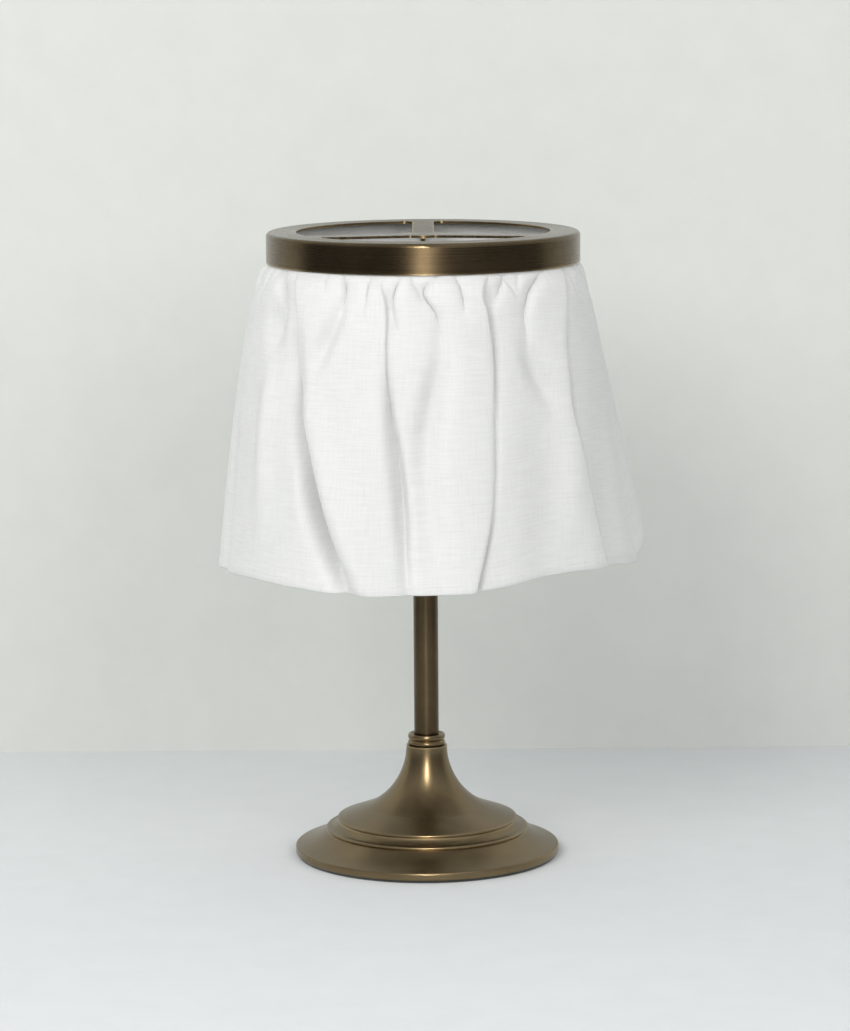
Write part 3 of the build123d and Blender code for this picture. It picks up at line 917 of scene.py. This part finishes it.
class LAMP_OT_stage(bpy.types.Operator):
    """Sets the floor, the wall, the lights, the room and the camera"""

    bl_idname = "lamp.stage"
    bl_label = "Set the Stage"

    def execute(self, context):
        stage = context.scene.lamp_stage
        bpy.ops.object.select_all(action="DESELECT")
        depth = stage.wall_distance + stage.floor_front
        bpy.ops.mesh.primitive_plane_add(
            size=1, location=(0, stage.wall_distance - depth / 2, 0), scale=(stage.floor_width, depth, 1)
        )
        floor = start_object("floor")
        bpy.ops.object.transform_apply(location=True, rotation=True, scale=True)
        floor.data.materials.append(stage_surface("floor_paint", stage.floor, False))
        bpy.ops.mesh.primitive_plane_add(
            size=WALL_SIZE,
            location=(0, stage.wall_distance, WALL_SIZE / 2),
            rotation=(math.radians(90), 0, 0),
        )
        wall = start_object("wall")
        bpy.ops.object.transform_apply(location=True, rotation=True, scale=True)
        wall.data.materials.append(stage_surface("wall_paint", stage.wall, True))
        for name, form in LIGHTS.items():
            add_light(name, form, getattr(stage, form.power))
        self.light_room(context.scene, stage)
        self.set_camera(context.scene, stage)
        context.scene.view_settings.view_transform = "Standard"
        return {"FINISHED"}

    def light_room(self, scene, stage):
        world = bpy.data.worlds.new("room")
        world.use_nodes = True
        tree = world.node_tree
        ground = tree.nodes["Background"]
        ground.inputs["Color"].default_value = ROOM_TINT
        spot = tree.nodes.new("ShaderNodeTexCoord")
        parts = tree.nodes.new("ShaderNodeSeparateXYZ")
        tree.links.new(spot.outputs["Generated"], parts.inputs[0])
        mirrored = tree.nodes.new("ShaderNodeMapRange")
        mirrored.inputs["From Min"].default_value = MIRRORED_SIDE
        mirrored.inputs["From Max"].default_value = MIRRORED_TOP
        mirrored.inputs["To Min"].default_value = stage.mirrored_low
        mirrored.inputs["To Max"].default_value = stage.mirrored_high
        tree.links.new(parts.outputs["Z"], mirrored.inputs["Value"])
        path = tree.nodes.new("ShaderNodeLightPath")
        light = tree.nodes.new("ShaderNodeMix")
        light.inputs["A"].default_value = stage.sky
        tree.links.new(path.outputs["Is Glossy Ray"], light.inputs["Factor"])
        tree.links.new(mirrored.outputs[0], light.inputs["B"])
        tree.links.new(light.outputs[0], ground.inputs["Strength"])
        scene.world = world

    def set_camera(self, scene, stage):
        bpy.ops.object.camera_add(location=(0, -stage.camera_distance, stage.camera_height))
        camera = start_object("photo_camera")
        camera.rotation_euler = Euler((math.radians(90) - stage.camera_pitch, 0, 0))
        camera.rotation_euler.rotate_axis("Z", -stage.camera_roll)
        camera.data.sensor_width = FRAME_WIDTH
        camera.data.lens = stage.lens
        camera.data.clip_end = VIEW_DEPTH
        scene.camera = camera


class LAMP_PT_sidebar(bpy.types.Panel):
    """Lists the lamp's settings and steps"""

    bl_idname = "LAMP_PT_sidebar"
    bl_label = "Candle Lamp"
    bl_space_type = "VIEW_3D"
    bl_region_type = "UI"
    bl_category = "Candle Lamp"

    def draw(self, context):
        for settings in (context.scene.lamp_shade, context.scene.lamp_finish, context.scene.lamp_stage):
            box = self.layout.box()
            for key in settings.__annotations__:
                box.prop(settings, key)
        for step in STEPS:
            self.layout.operator(step.bl_idname)


STEPS = (LAMP_OT_brass, LAMP_OT_fittings, LAMP_OT_candle, LAMP_OT_skirt, LAMP_OT_hem, LAMP_OT_stage)
SETTINGS = {"lamp_shade": ShadeSettings, "lamp_finish": FinishSettings, "lamp_stage": StageSettings}


def register():
    for kind in (*SETTINGS.values(), *STEPS, LAMP_PT_sidebar):
        bpy.utils.register_class(kind)
    for name, kind in SETTINGS.items():
        setattr(bpy.types.Scene, name, bpy.props.PointerProperty(type=kind))


def unregister():
    for name in SETTINGS:
        delattr(bpy.types.Scene, name)
    for kind in reversed((*SETTINGS.values(), *STEPS, LAMP_PT_sidebar)):
        bpy.utils.unregister_class(kind)


def main():
    register()
    bpy.ops.lamp.brass()
    bpy.ops.lamp.fittings()
    bpy.ops.lamp.candle()
    bpy.ops.lamp.skirt()
    bpy.ops.lamp.hem()
    bpy.ops.lamp.stage()


if __name__ == "__main__":
    main()
